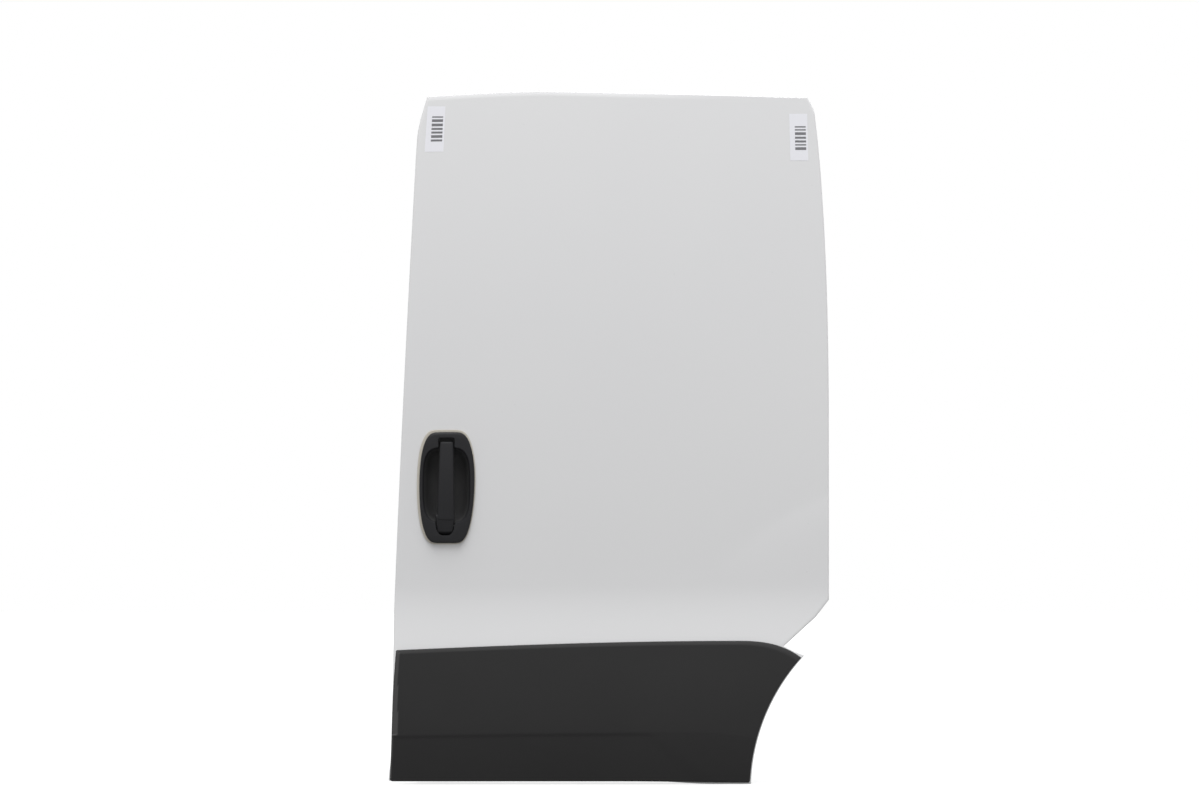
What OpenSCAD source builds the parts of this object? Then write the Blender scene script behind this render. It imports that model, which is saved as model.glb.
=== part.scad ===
// Left sliding side door of a small panel van: blank steel door with a pressed
// wheel-arch flare, an upright pull handle and a deep plastic moulding along its foot.
// The door is laid out with x from its front edge towards the rear, z up from its foot
// and y from the widest line of the panel inwards, then moved to its origin on the
// middle carriage.

/* [Door panel] */
// Height of the door at the crown of its top edge
door_h = 1200; // [1150:10:1260]
// Width of the door at its widest
door_w = 761; // [720:1:800]
// Thickness of the pressed steel
sheet = 1.2; // [0.9:0.1:1.5]
// Height of the widest line of the body side
belt_z = 430; // [380:10:480]
// Radius of the curve by which the side leans in above that line
tumble_r = 4200; // [3600:100:6000]
// Amount that the front edge leans back between foot and top corner
front_lean = 48; // [20:1:70]
// Amount that the rear edge comes forward at the top
rear_lean = 26; // [10:1:40]

/* [Wheel arch] */
// Radius of the wheel arch cut
arch_r = 340; // [320:1:350]
// Distance of the wheel centre behind the rear edge
wheel_behind = 205; // [197:1:213]
// Distance from the arch to the crease round it
arch_crease = 210; // [190:5:230]
// Amount that the sheet stands out inside that crease
arch_out = 2.4; // [1:0.2:4]

/* [Foot of the side] */
// Height at which the side starts to swell out towards its foot
swage_z = 345; // [320:5:370]
// Amount that the foot stands out
flare_out = 22; // [12:1:28]

/* [Inner frame] */
// Depth of the door below the waist
lower_depth = 78; // [66:1:90]
// Depth of the door above the waist
upper_depth = 52; // [44:1:60]
// Height of the waist
waist_z = 735; // [700:5:770]
// Width of the seal land round the door
flange_w = 30; // [26:1:34]
// Width of the inner frame from the door's edge to its openings
frame_w = 82; // [76:1:90]

/* [Moulding] */
// Height of the moulding's top edge at the front
moulding_h = 231; // [215:1:240]
// Height of the crease along the moulding
crease_z = 84; // [70:1:100]
// Thickness of the moulding
moulding_t = 3; // [2.5:0.5:4]

/* [Handle] */
// Height of the middle of the handle
handle_z = 514; // [480:1:540]
// Width of the handle's surround
surround_w = 95; // [88:1:100]
// Height of the handle's surround
surround_h = 192; // [184:1:200]
// Depth of the finger bowl behind the skin
bowl_depth = 30; // [24:1:34]
// Width of the grip in the middle
grip_w = 27; // [24:1:30]
// Length of the grip
grip_len = 134; // [126:1:138]
// Radius of the pin that the grip turns on
pin_r = 2.5; // [2:0.5:3.5]

/* [Running gear] */
// Height of the middle carriage
carriage_z = 660; // [640:5:680]
// Reach of the middle arm behind the door
middle_reach = 62; // [50:1:80]
// Reach of the lower arm behind the door
lower_reach = 120; // [100:5:150]
// Reach of the upper arm behind the door
upper_reach = 90; // [70:5:110]

/* [Hidden] */
$fn = 48;
seat = 0.5;
bond = 0.8;
hem_w = 12;
hem_t = 2 * sheet + 0.4;
wheel_x = door_w + wheel_behind;
wheel_z = -11;
tuck_r = 12000;

// Outline of the door

corner_z = door_h - 74;
front_corner = 17;
rear_corner = 12;
rear_corner_h = 30;
top_front_x = 65;
top_rear_x = door_w - 30;
front_bow = 1.25;
lean_z = door_h / 2;
shoulder_z = 318;
notch_z = 238;
tip_z = 222;
notch_x = wheel_x - 283;
bend_z = shoulder_z - 30;
bend_x = notch_x + 55;
crown_x = 262;
crown_drop = 12;

function arch_x(z, r = arch_r) = wheel_x - sqrt(r * r - (z - wheel_z) * (z - wheel_z));

function front_x(z) =
    front_lean * pow(max(z, 0) / corner_z, front_bow)
    + front_corner * pow(max(z - corner_z, 0) / (door_h - corner_z), 1.5);

function rear_line(z) =
    door_w - rear_lean * pow(max(z - lean_z, 0) / (door_h - lean_z), 2.5)
    - rear_corner * pow(max(z - door_h + rear_corner_h, 0) / rear_corner_h, 1.5);

function rear_x(z) =
    z <= tip_z ? arch_x(z)
    : z <= notch_z ? arch_x(tip_z) + (notch_x - arch_x(tip_z)) * (z - tip_z) / (notch_z - tip_z)
    : z <= bend_z ? notch_x + (bend_x - notch_x) * (z - notch_z) / (bend_z - notch_z)
    : z <= shoulder_z ? bend_x + (rear_line(shoulder_z) - bend_x) * (z - bend_z) / (shoulder_z - bend_z)
    : rear_line(z);

function top_z(x) =
    x < crown_x ? door_h - crown_drop * pow((crown_x - x) / (crown_x - top_front_x), 1.5)
    : door_h - crown_drop * pow((x - crown_x) / (top_rear_x - crown_x), 1.5);

// Shape of the body side

function ease(t) = let (c = min(max(t, 0), 1)) c * c * (3 - 2 * c);

function tumble(z) =
    z > belt_z ? (z - belt_z) * (z - belt_z) / (2 * tumble_r)
    : (z - belt_z) * (z - belt_z) / (2 * tuck_r);

flare_ramp = 200;
crease_fade = 40;
crease_length = 260;

// Swelling of the foot of the side, and the small step inside the crease round the wheel arch
function flare(x, z) =
    let (
        inside = max(0, arch_r + arch_crease - norm([x - wheel_x, z - wheel_z])),
        near_rear = ease((x - door_w + crease_length) / (0.7 * crease_length))
    ) flare_out * ease((swage_z - z) / flare_ramp)
    + arch_out * (1 - exp(-inside / crease_fade)) * near_rear;

function skin_y(x, z) = tumble(z) - flare(x, z);

function inner_y(z) =
    tumble(z) + lower_depth + (upper_depth - lower_depth) * ease((z - waist_z + 30) / 60);

// Sheets

function flat(rows) = [for (row = rows) for (p = row) p];

// A solid between two grids of points that face each other, such as the two sides of a pressed sheet
module sheet_solid(front, back) {
    rows = len(front);
    cols = len(front[0]);
    n = rows * cols;
    function at(i, j) = i * cols + j;
    function two(a, b, c, d) = [[a, d, c], [a, c, b]];
    polyhedron(points = concat(flat(front), flat(back)), faces = concat(
        [for (i = [0:rows - 2], j = [0:cols - 2])
            each two(at(i, j), at(i, j + 1), at(i + 1, j + 1), at(i + 1, j))],
        [for (i = [0:rows - 2], j = [0:cols - 2])
            each two(n + at(i, j + 1), n + at(i, j), n + at(i + 1, j), n + at(i + 1, j + 1))],
        [for (j = [0:cols - 2])
            each two(n + at(0, j), n + at(0, j + 1), at(0, j + 1), at(0, j))],
        [for (j = [0:cols - 2])
            each two(at(rows - 1, j), at(rows - 1, j + 1), n + at(rows - 1, j + 1), n + at(rows - 1, j))],
        [for (i = [0:rows - 2])
            each two(n + at(i, 0), at(i, 0), at(i + 1, 0), n + at(i + 1, 0))],
        [for (i = [0:rows - 2])
            each two(at(i, cols - 1), n + at(i, cols - 1), n + at(i + 1, cols - 1), at(i + 1, cols - 1))]
    ), convexity = 6);
}

// Steps from a to b in n parts, without b
function steps(a, b, n) = [for (i = [0:n - 1]) a + (b - a) * i / n];

hem_step = 0.6;
skin_rows = concat(
    [0, hem_w, hem_w + hem_step], steps(30, tip_z, 11), [tip_z],
    steps(notch_z, bend_z, 3), steps(bend_z, shoulder_z, 2),
    steps(shoulder_z, lean_z, 12), steps(lean_z, corner_z - 10, 9),
    steps(corner_z - 10, door_h - hem_w - hem_step, 3),
    [door_h - hem_w - hem_step, door_h - hem_w, door_h]);
skin_cols = 24;

function edge_steps(a, b, n, rim) = concat(
    [a, a + rim, a + rim + hem_step],
    [for (i = [1:n - 1]) a + rim + hem_step + (b - a - 2 * rim - 2 * hem_step) * i / n],
    [b - rim - hem_step, b - rim, b]);

// Height of a row of the skin at x: rows near the top follow the crown of the top edge
function crowned(x, z) = z + (top_z(x) - door_h) * ease((z - corner_z + 60) / (door_h - corner_z + 60));

module outer_skin() {
    grid = [for (z = skin_rows)
        [for (x = edge_steps(front_x(z), rear_x(z), skin_cols, hem_w)) [x, crowned(x, z)]]];
    last_row = len(skin_rows) - 1;
    last_col = len(grid[0]) - 1;
    function in_hem(i, j) = i < 2 || j < 2 || i > last_row - 2 || j > last_col - 2;
    color("gainsboro") difference() {
        sheet_solid(
            [for (row = grid) [for (p = row) [p[0], skin_y(p[0], p[1]), p[1]]]],
            [for (i = [0:last_row]) [for (j = [0:last_col]) let (p = grid[i][j])
                [p[0], skin_y(p[0], p[1]) + (in_hem(i, j) ? hem_t : sheet), p[1]]]]);
        on_door() prism_y(-20, 20) handle_ring(cutout_inset);
    }
}

// Inner frame

frame_arch_top = 389;

function frame_arch_r(t) = arch_r + (frame_arch_top - arch_r) * ease(t);

// Edges of the skin at a true height: near the top its rows drop with the crown of the top edge
function uncrowned(z) = z + crown_drop * ease((z - corner_z + 60) / (door_h - corner_z + 60));
function front_edge(z) = front_x(uncrowned(z));
function rear_edge(z) = rear_line(uncrowned(z));

function corner_bl(d) = [front_x(d) + d, d];
function corner_ab(d) = [arch_x(d, arch_r + d), d];
function corner_tl(d) = let (z = top_z(top_front_x + d) - d) [front_edge(z) + d, z];
function corner_tr(d) = let (z = top_z(top_rear_x - d) - d) [rear_edge(z) - d, z];
function corner_ra(d) =
    let (x = rear_line(shoulder_z) - d, r = frame_arch_top + d)
    [x, wheel_z + sqrt(r * r - (x - wheel_x) * (x - wheel_x))];

function mix(a, b, t) = a + (b - a) * t;
function angle_at(p) = atan2(p[1] - wheel_z, wheel_x - p[0]);

waist_band = 50;
waist_low = 0.55;
waist_high = 0.72;

// Height at share t of an upright that runs from z0 to z1: the same on every line of it across the waist
function upright_z(z0, z1, t) =
    t < waist_low ? mix(z0, waist_z - waist_band, t / waist_low)
    : t < waist_high
    ? mix(waist_z - waist_band, waist_z + waist_band, (t - waist_low) / (waist_high - waist_low))
    : mix(waist_z + waist_band, z1, (t - waist_high) / (1 - waist_high));

function along_front(d, t) =
    let (z = upright_z(corner_bl(d)[1], corner_tl(d)[1], t)) [front_edge(z) + d, z];

function along_top(d, t) =
    let (a = corner_tl(d), b = corner_tr(d), x = mix(a[0], b[0], t))
    [x, top_z(x) + mix(a[1] - top_z(a[0]), b[1] - top_z(b[0]), t)];

function along_rear(d, t) =
    let (z = upright_z(corner_ra(d)[1], corner_tr(d)[1], 1 - t)) [rear_edge(z) - d, z];

function along_arch(d, t) =
    let (a = mix(angle_at(corner_ra(d)), angle_at(corner_ab(d)), t), r = frame_arch_r(1 - t) + d)
    [wheel_x - r * cos(a), wheel_z + r * sin(a)];

function along_foot(d, t) = mix(corner_ab(d), corner_bl(d), t);

lip = 12;
wall_draft = 9;

// Section of the frame: distance in from the door's edge, 0 on the skin or 1 on the inner face, offset in y
frame_inner = [[hem_w + 2, 0, sheet], [flange_w, 0, sheet], [flange_w + wall_draft, 1, 0],
    [frame_w, 1, 0], [frame_w + 1, 1, -lip]];
frame_outer = [[hem_w + 2, 0, 0], [flange_w + sheet, 0, 0], [flange_w + wall_draft + sheet, 1, -sheet],
    [frame_w - sheet, 1, -sheet], [frame_w + 1 - sheet, 1, -lip]];

function on_section(p, side, e) =
    [p[0], mix(skin_y(p[0], p[1]) + sheet + bond, inner_y(p[1]), side) + e, p[1]];

function frame_grid(section, along, ts) =
    [for (t = ts) [for (s = section) on_section(along(s[0], t), s[1], s[2])]];

module frame_member(along, ts) {
    color("gainsboro") sheet_solid(frame_grid(frame_outer, along, ts), frame_grid(frame_inner, along, ts));
}

function evenly(n) = [for (i = [0:n]) i / n];
corner_t = 0.96;
front_ts = concat(steps(0, waist_low, 26), steps(waist_low, waist_high, 16),
    steps(waist_high, corner_t, 6), steps(corner_t, 1, 5), [1]);
rear_ts = concat(steps(0, 1 - corner_t, 5), steps(1 - corner_t, 1 - waist_high, 6),
    steps(1 - waist_high, 1 - waist_low, 16), steps(1 - waist_low, 1, 14), [1]);
top_ts = evenly(14);
arch_ts = evenly(20);
foot_ts = evenly(12);

module frame_front() { frame_member(function(d, t) along_front(d, t), front_ts); }

module frame_top() { frame_member(function(d, t) along_top(d, t), top_ts); }

module frame_rear() { frame_member(function(d, t) along_rear(d, t), rear_ts); }

module frame_arch() { frame_member(function(d, t) along_arch(d, t), arch_ts); }

module frame_foot() { frame_member(function(d, t) along_foot(d, t), foot_ts); }

// Outline of the door at distance d in from its edge
function but_last(ts) = [for (i = [0:len(ts) - 2]) ts[i]];
function door_loop(d) = concat(
    [for (t = but_last(front_ts)) along_front(d, t)], [for (t = but_last(top_ts)) along_top(d, t)],
    [for (t = but_last(rear_ts)) along_rear(d, t)], [for (t = but_last(arch_ts)) along_arch(d, t)],
    [for (t = but_last(foot_ts)) along_foot(d, t)]);

// A sheet that follows the inner face from z0 to z1 in n steps, as deep as t and reaching from x0 to x1
module inner_sheet(x0, x1, z0, z1, n, y, t) {
    zs = concat(steps(z0, z1, n), [z1]);
    translate([x0, 0, 0]) rotate([90, 0, 90]) linear_extrude(x1 - x0)
        polygon(concat([for (z = zs) [inner_y(z) + y, z]],
            [for (i = [len(zs) - 1:-1:0]) [inner_y(zs[i]) + y + t, zs[i]]]));
}

panel_lap = 20;
through = 300;
rail_lip = 16;
panel_top = waist_z - 75;

// Holes for hands and tools: left, right, foot, top and corner radius
access_holes = [[112, 200, 465, 590, 20], [255, 470, 355, 520, 30], [520, 640, 470, 600, 26],
    [110, 215, 175, 300, 26], [272, 430, 125, 290, 30]];

// Small round holes for the trim's clips: middle and radius
clip_holes = [[90, 340, 5], [90, 440, 5], [225, 640, 5], [370, 640, 5], [500, 640, 5], [660, 560, 5],
    [500, 330, 6], [560, 410, 9], [240, 130, 6], [450, 130, 6]];

module rounded_hole(hole) {
    r = hole[4];
    prism_y(-through, through) translate([hole[0] + r, hole[2] + r]) offset(r = r)
        square([hole[1] - hole[0] - 2 * r, hole[3] - hole[2] - 2 * r]);
}

module lower_inner_panel() {
    color("gainsboro") difference() {
        intersection() {
            inner_sheet(0, door_w, frame_w - panel_lap, panel_top, 24, seat, sheet);
            prism_y(-through, through) polygon(door_loop(frame_w - panel_lap));
        }
        for (hole = access_holes) rounded_hole(hole);
        for (hole = clip_holes)
            translate([hole[0], -through, hole[1]]) rotate([-90, 0, 0])
                cylinder(h = 2 * through, r = hole[2]);
    }
}

// Hat-section rail along the waist, lapped onto the frame's two uprights
module waist_rail() {
    z0 = panel_top + 6;
    z1 = waist_z + waist_band;
    x0 = front_x(waist_z) + frame_w - panel_lap;
    x1 = rear_line(waist_z) - frame_w + panel_lap;
    color("gainsboro") union() {
        inner_sheet(x0, x1, z0, z1, 20, seat, sheet);
        inner_sheet(x0 + panel_lap + 8, x1 - panel_lap - 8, z1 - sheet, z1, 1,
            -rail_lip, rail_lip + seat + sheet);
    }
}

// Slope of the door at height z
function slope(z) = (z - belt_z) / (z > belt_z ? tumble_r : tuck_r);

// Places children at x and z on the inner face of the frame, or on the panel lapped over it, square to it
module on_inner(x, z, panel = true) {
    translate([x, inner_y(z) + seat + (panel ? sheet + bond : 0), z]) rotate([-atan(slope(z)), 0, 0])
        children();
}

// Hat section bonded to the inside of the skin, as wide as w and as tall as h off the skin
module skin_hat(x0, x1, z, w, h) {
    y = skin_y(door_w / 2, z) + sheet + seat;
    translate([x0, y + 0.3, z]) rotate([-atan(slope(z)), 0, 0]) rotate([90, 0, 90]) linear_extrude(x1 - x0)
        polygon([[0, -w / 2 - 14], [0, -w / 2], [h, -w / 2 + 6], [h, w / 2 - 6], [0, w / 2], [0, w / 2 + 14],
            [sheet, w / 2 + 14], [sheet, w / 2 + 0.4], [h + sheet, w / 2 - 5.6],
            [h + sheet, -w / 2 + 5.6], [sheet, -w / 2 - 0.4], [sheet, -w / 2 - 14]]);
}

stiffener_z = 955;

module skin_stiffener() {
    color("gainsboro")
        skin_hat(front_x(stiffener_z) + frame_w, rear_line(stiffener_z) - frame_w, stiffener_z, 40, 18);
}

beam_r = 14;
beam_z = 385;
beam_y = 28;

module impact_beam() {
    d = flange_w + sheet + wall_draft * (beam_y + beam_r) / lower_depth + seat;
    x0 = front_x(beam_z) + d;
    x1 = min(rear_line(beam_z) - d, corner_ra(flange_w + wall_draft)[0]);
    y = beam_y;
    color("silver") difference() {
        translate([x0, y, beam_z]) rotate([0, 90, 0]) cylinder(h = x1 - x0, r = beam_r);
        translate([x0 - 1, y, beam_z]) rotate([0, 90, 0]) cylinder(h = x1 - x0 + 2, r = beam_r - 2);
    }
}

// Moulding

moulding_front = 14;
moulding_rise = 16;
moulding_foot = 6;
moulding_foot_rear = 1;
moulding_gap = 2;
moulding_proud = 7;
moulding_out = 28;
moulding_bevel = 9;
crease_step = 1.2;
moulding_tuck = 6;
crease_end_x = 437;
crown_share = 0.82;

// Height of the moulding's top edge at share u of its length: a rise, then a falling curve to the tip
function moulding_top(u) =
    u < crown_share ? moulding_h + moulding_rise * sin(90 * u / crown_share)
    : mix(moulding_h + moulding_rise, tip_z - 4, pow((u - crown_share) / (1 - crown_share), 2));

// A point of the moulding in x and z: share u along it and share v up it
function moulding_at(u, v) =
    let (foot = mix(moulding_foot, moulding_foot_rear, u), z = foot + v * (moulding_top(u) - foot))
    [mix(mix(2, moulding_front, v), arch_x(z) - moulding_gap, u), z];

// Face of the moulding: proud of the skin at its top edge, furthest out at the crease and set back below it
function moulding_y(u, v) =
    let (
        p = moulding_at(u, v), top = moulding_at(u, 1),
        top_y = skin_y(top[0], top[1]) - moulding_proud,
        v_crease = (crease_z - moulding_foot) / (moulding_h - moulding_foot),
        fade = 1 - ease((p[0] - crease_end_x - 1.1 * max(0, crease_z - p[1])) / 30),
        from_front = (p[0] - mix(2, moulding_front, v)) / moulding_bevel,
        from_top = (top[1] - p[1]) / 5
    )
    (v > v_crease ? mix(-moulding_out, top_y, pow((v - v_crease) / (1 - v_crease), 1.4))
        : -moulding_out + moulding_tuck * (v_crease - v) / v_crease)
    + crease_step * ease((v_crease - v) / 0.03) * fade
    + 5 * max(0, 1 - from_front) * (v > v_crease ? 1 : 0.4)
    + 3 * pow(max(0, 1 - from_top), 2);

moulding_v = let (c = (crease_z - moulding_foot) / (moulding_h - moulding_foot), w = moulding_t / moulding_h)
    concat([0, w, w + 0.012], steps(0.08, c - 0.035, 4), [c - 0.035, c - 0.012, c],
        steps(c + 0.03, 0.95, 6), [0.95, 1 - w - 0.012, 1 - w, 1]);
moulding_u = let (w = moulding_t / 620)
    concat([0, w, w + 0.004, 1.25 * moulding_bevel / 620], steps(0.05, 0.97, 18),
        [0.97, 1 - w - 0.004, 1 - w, 1]);

module lower_moulding() {
    last_v = len(moulding_v) - 1;
    last_u = len(moulding_u) - 1;
    function in_rim(i, j) = i < 2 || j < 2 || i > last_v - 2 || j > last_u - 2;
    function face(u, v) = let (p = moulding_at(u, v)) [p[0], moulding_y(u, v), p[1]];
    function back(u, v, rim) = let (p = moulding_at(u, v))
        [p[0], rim ? skin_y(p[0], p[1]) - seat : moulding_y(u, v) + moulding_t, p[1]];
    color("#3a393a") sheet_solid(
        [for (v = moulding_v) [for (u = moulding_u) face(u, v)]],
        [for (i = [0:last_v]) [for (j = [0:last_u]) back(moulding_u[j], moulding_v[i], in_rim(i, j))]]);
}

// Handle, drawn about its own middle on the skin

handle_in = 83;
handle_x = front_x(handle_z) + handle_in;
gasket_t = 1.8;
surround_back = -seat - gasket_t;
surround_face = -8.5;
bowl_w = surround_w - 14;
bowl_h = surround_h - 68;
bowl_up = 7.5;
bowl_left = -0.8;
shell_t = 2.4;
cutout_inset = 4;
pivot_y = 8;
pivot_z = -surround_h / 2 + 26;
pin_gap = 0.05;
pocket_w = 38;
pocket_foot = pivot_z - 13;
pocket_r = 13;
pocket_depth = 18;
notch_w = grip_w + 0.5;
notch_top = bowl_up + bowl_h / 2 + 19;
notch_r = 4;
notch_depth = 5;
pocket_x = bowl_left - 1.5;
foot_w = pocket_w - 7;
ear_t = 3.5;
ear_gap = 0.6;

// A closed ring of n points, rounder for a lower power
function round_ring(w, h, power, n) = [for (i = [0:n - 1]) let (
        c = cos(360 * i / n),
        s = sin(360 * i / n),
        size = pow(pow(abs(c), power) + pow(abs(s), power), 1 / power)
    ) [w / 2 * c / size, h / 2 * s / size]];

// Outline of the surround: widest a little over its middle, narrower towards both ends
function egg_ring(w, h) = [for (p = round_ring(w, h, 6, 72))
    let (v = 2 * p[1] / h - 0.16) [p[0] * (1 - (v > 0 ? 0.33 : 0.24) * v * v), p[1]]];

module handle_ring(inset) { polygon(egg_ring(surround_w - 2 * inset, surround_h - 2 * inset)); }

// An outline in x and z, extruded from y0 to y1
module prism_y(y0, y1) { translate([0, y1, 0]) rotate([90, 0, 0]) linear_extrude(y1 - y0) children(); }

// A solid through closed rings of points from the back to the front, with a flat cap at each end
module ring_solid(rings) {
    n = len(rings[0]);
    last = (len(rings) - 1) * n;
    polyhedron(points = flat(rings), convexity = 6, faces = concat(
        [[for (k = [0:n - 1]) k]],
        [for (i = [0:len(rings) - 2], k = [0:n - 1]) each
            let (a = i * n + k, b = i * n + (k + 1) % n, c = a + n, d = b + n) [[a, c, b], [b, c, d]]],
        [[for (k = [n - 1:-1:0]) last + k]]));
}

function ring_at(inset, y) =
    [for (p = egg_ring(surround_w - 2 * inset, surround_h - 2 * inset)) [p[0], y, p[1]]];

function bowl_ring(grow, y) =
    [for (p = round_ring(bowl_w + grow, bowl_h + grow, 3.6, 60)) [p[0] + bowl_left, y, p[1] + bowl_up]];

// Moves the handle's pieces from their own middle to their place on the door, leaning with the skin
module on_door() {
    translate([handle_x, skin_y(handle_x, handle_z), handle_z]) rotate([-atan(slope(handle_z)), 0, 0])
        children();
}

// Pocket round the grip's foot and notch round its top end, grown by the given wall
module pocket(grow) {
    translate([pocket_x - pocket_w / 2, pocket_foot])
        offset(r = pocket_r + grow) offset(delta = -pocket_r) square([pocket_w, 3 * pocket_r + 10]);
}

module notch(grow) {
    translate([bowl_left - notch_w / 2, notch_top - 40]) offset(r = notch_r + grow) offset(delta = -notch_r)
        square([notch_w, 40]);
}

module handle_surround() {
    color("#2b2b2d") on_door() difference() {
        union() {
            ring_solid([ring_at(0, surround_back), ring_at(0, -5), ring_at(1.2, -7.2),
                ring_at(4, surround_face)]);
            ring_solid([bowl_ring(-38, bowl_depth + shell_t), bowl_ring(-18, bowl_depth - 2),
                bowl_ring(-4, 14), bowl_ring(0.8, 0), bowl_ring(0.8, surround_back - 1)]);
            prism_y(surround_back - 1, pocket_depth + shell_t) pocket(shell_t);
            prism_y(surround_back - 1, notch_depth + shell_t) notch(shell_t);
        }
        ring_solid([bowl_ring(-42, bowl_depth), bowl_ring(-24, bowl_depth - 4),
            bowl_ring(-14, bowl_depth - 12), bowl_ring(-9, 10), bowl_ring(-4, 0), bowl_ring(-1, -7),
            bowl_ring(2.5, surround_face - 1)]);
        translate([bowl_left - 40, pivot_y, pivot_z]) rotate([0, 90, 0]) cylinder(h = 80, r = pin_r + 0.5);
        prism_y(surround_face - 1, pocket_depth) pocket(0);
        prism_y(surround_face - 1, notch_depth) notch(0);
    }
}

module handle_gasket() {
    color("#b9b4a8") on_door() difference() {
        prism_y(-seat / 2 - gasket_t, -seat / 2) translate([-0.8, 1]) handle_ring(-3);
        prism_y(-10, 10) handle_ring(cutout_inset - 0.5);
    }
}

// Outer face of the grip in a side view, bowed outboard between its ends
grip_top = notch_top - 7;
grip_foot = grip_top - grip_len;
grip_t = 11;

function grip_y(z) = -8 - 6 * sin(180 * (z - grip_foot) / grip_len);

module grip_side() {
    zs = [for (i = [0:20]) grip_foot + grip_len * i / 20];
    offset(r = 2.5) offset(delta = -2.5) polygon(concat([for (z = zs) [grip_y(z), z]],
        [for (i = [20:-1:0]) [grip_y(zs[i]) + grip_t, zs[i]]]));
}

module grip_front() {
    offset(r = 2.5) offset(delta = -2.5) polygon([
        [-grip_w / 2 - 2.2, grip_foot], [grip_w / 2 + 0.2, grip_foot],
        [grip_w / 2 - 1.8, grip_top], [-grip_w / 2 + 1.6, grip_top]]);
}

module prism_x(x0, x1) { translate([x0, 0, 0]) rotate([90, 0, 90]) linear_extrude(x1 - x0) children(); }

module handle_grip() {
    color("#2b2b2d") on_door() difference() {
        union() {
            intersection() {
                prism_x(-30, 30) grip_side();
                translate([bowl_left, 0, 0]) prism_y(-30, 30) grip_front();
            }
            prism_x(pocket_x - foot_w / 2, pocket_x + foot_w / 2) hull() {
                translate([-1.5, grip_foot + 5]) circle(r = 4);
                translate([pivot_y, pivot_z]) circle(r = pin_r + 4);
            }
        }
        translate([-40, pivot_y, pivot_z]) rotate([0, 90, 0]) cylinder(h = 80, r = pin_r + pin_gap);
    }
}

module handle_pin() {
    l = pocket_w / 2 + shell_t + ear_gap + ear_t + 1.5;
    color("silver") on_door() translate([pocket_x - l, pivot_y, pivot_z]) rotate([0, 90, 0])
        cylinder(h = 2 * l, r = pin_r);
}

module handle_pivot() {
    x1 = pocket_w / 2 + shell_t + ear_gap;
    base_y = pocket_depth + shell_t + seat;
    color("silver") on_door() translate([pocket_x, 0, 0]) difference() {
        union() {
            for (x = [-x1 - ear_t, x1]) prism_x(x, x + ear_t) hull() {
                translate([pivot_y, pivot_z]) circle(r = pin_r + 3.5);
                translate([base_y, pivot_z - 10]) square([2, 20]);
            }
            translate([-x1 - ear_t, base_y, pivot_z - 10]) cube([2 * (x1 + ear_t), 2, 20]);
        }
        translate([-40, pivot_y, pivot_z]) rotate([0, 90, 0]) cylinder(h = 80, r = pin_r + pin_gap);
    }
}

module handle_backplate() {
    color("silver") on_door() difference() {
        prism_y(sheet + 1.7, sheet + 3.2) handle_ring(cutout_inset - 6);
        prism_y(-10, 10) handle_ring(cutout_inset - 0.5);
    }
}

// Latches

lock_z = 702;
lock_h = 74;
lock_x = 26;
latch_d = flange_w + sheet + wall_draft + seat;

// Body of a latch with its claw standing out towards the door's edge
module latch(side) {
    y0 = skin_y(door_w / 2, lock_z) + 22;
    cube_y = lower_depth - 34;
    translate([side > 0 ? 0 : -lock_x, y0, lock_z - lock_h]) difference() {
        cube([lock_x, cube_y, lock_h]);
        translate([side > 0 ? -1 : lock_x - 9, cube_y - 22, lock_h / 2 - 7]) cube([10, 30, 14]);
    }
    translate([side > 0 ? 3 : -6, y0 + cube_y - 12, lock_z - lock_h / 2]) rotate([0, 90, 0])
        cylinder(h = 3, r = 9);
}

module front_lock() {
    color("silver") translate([front_x(lock_z) + latch_d, 0, 0]) latch(1);
}

module rear_latch() {
    color("silver") translate([rear_line(lock_z) - latch_d, 0, 0]) latch(-1);
}

module rod(p, q, r) {
    v = q - p;
    translate(p) rotate([0, acos(v[2] / norm(v)), atan2(v[1], v[0])]) cylinder(h = norm(v), r = r);
}

relay_x = 250;
relay_down = 85;
relay_z = panel_top - relay_down;

module lock_relay() {
    y = inner_y(relay_z) - seat;
    color("silver") union() {
        translate([relay_x - 35, y - 3, relay_z - 40]) cube([70, 2.6, 80]);
        translate([relay_x, y - 14, relay_z]) rotate([-90, 0, 0]) cylinder(h = 12, r = 13);
    }
}

module front_lock_rod() {
    y = inner_y(relay_z) - 17.6;
    color("dimgray")
        rod([front_x(lock_z) + latch_d + lock_x + seat, y, lock_z - 50], [relay_x - 6, y, relay_z + 6], 2.5);
}

module rear_lock_rod() {
    y = inner_y(relay_z) - 17.6;
    color("dimgray")
        rod([relay_x + 6, y, relay_z + 6],
            [rear_line(lock_z) - latch_d - lock_x - seat, y, lock_z - 50], 2.5);
}

// Running gear

arm_t = 4;
roller_back = 22;
middle_x = rear_line(carriage_z) - frame_w / 2 - 20;
middle_y = inner_y(carriage_z) + middle_reach;
lower_x = 95;
lower_z = 60;
upper_x = 150;
upper_z = door_h - crown_drop - 50;

// A flat arm from y0 to y1, as wide as w0 at the door and w1 at its end
module arm(y0, y1, w0, w1) {
    translate([0, 0, -arm_t / 2]) linear_extrude(arm_t) difference() {
        union() {
            polygon([[-w0 / 2, y0], [w0 / 2, y0], [w1 / 2, y1], [-w1 / 2, y1]]);
            translate([0, y1]) circle(d = w1);
        }
        translate([0, y1]) circle(r = 4.1);
    }
}

module base_plate(w, h) {
    translate([-w / 2, 0, -h / 2]) cube([w, arm_t, h]);
}

module upper_arm() {
    color("#202022") {
        on_inner(upper_x, upper_z, false) base_plate(76, 34);
        translate([upper_x, 0, upper_z])
            arm(inner_y(upper_z) + seat + 1, inner_y(upper_z) + upper_reach, 60, 24);
    }
}

module upper_roller() {
    color("ivory") translate([upper_x, inner_y(upper_z) + upper_reach, upper_z]) guide_roller(11);
}

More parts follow.
